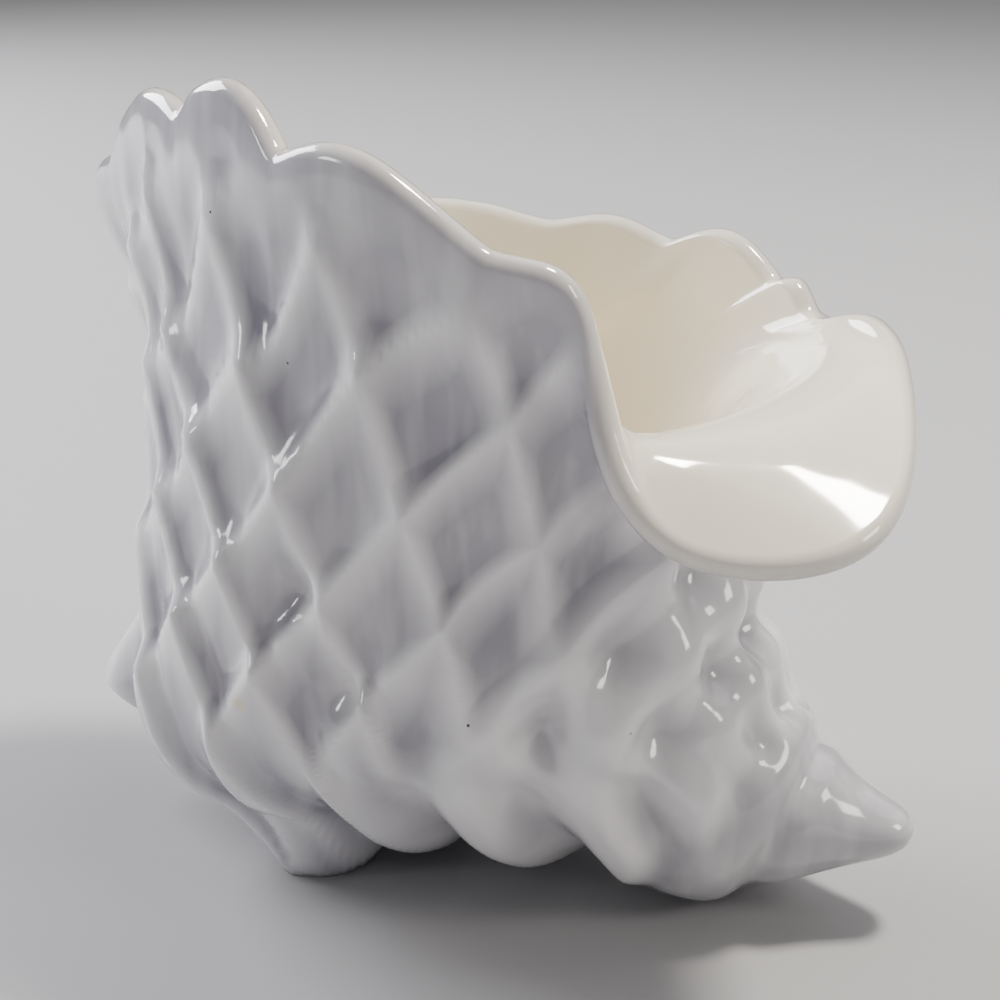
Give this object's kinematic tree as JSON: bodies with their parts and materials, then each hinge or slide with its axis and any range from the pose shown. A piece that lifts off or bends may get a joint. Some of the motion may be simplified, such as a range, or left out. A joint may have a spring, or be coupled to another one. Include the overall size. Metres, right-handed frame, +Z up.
{
  "type": "conch shell vase",
  "caption": "Glazed ceramic vase shaped as a conch shell lying on its spire and two feet, hollow inside, with a wide lobed mouth on top and a broad rolled lip.",
  "frame": {"origin": "middle of the bounding box in plan, on the plane the vase rests on", "axes": "+Z up out of the mouth, +X along the shell towards the tip of the spire, -Y the front with the visible ribs"},
  "size_m": [0.2436, 0.1524, 0.2164],
  "materials": {
    "white_glaze": "glossy milk-white glaze, warmer inside"
  },
  "bodies": {
    "root": {"conch_shell_vase": "white_glaze"}
  },
  "joints": []
}
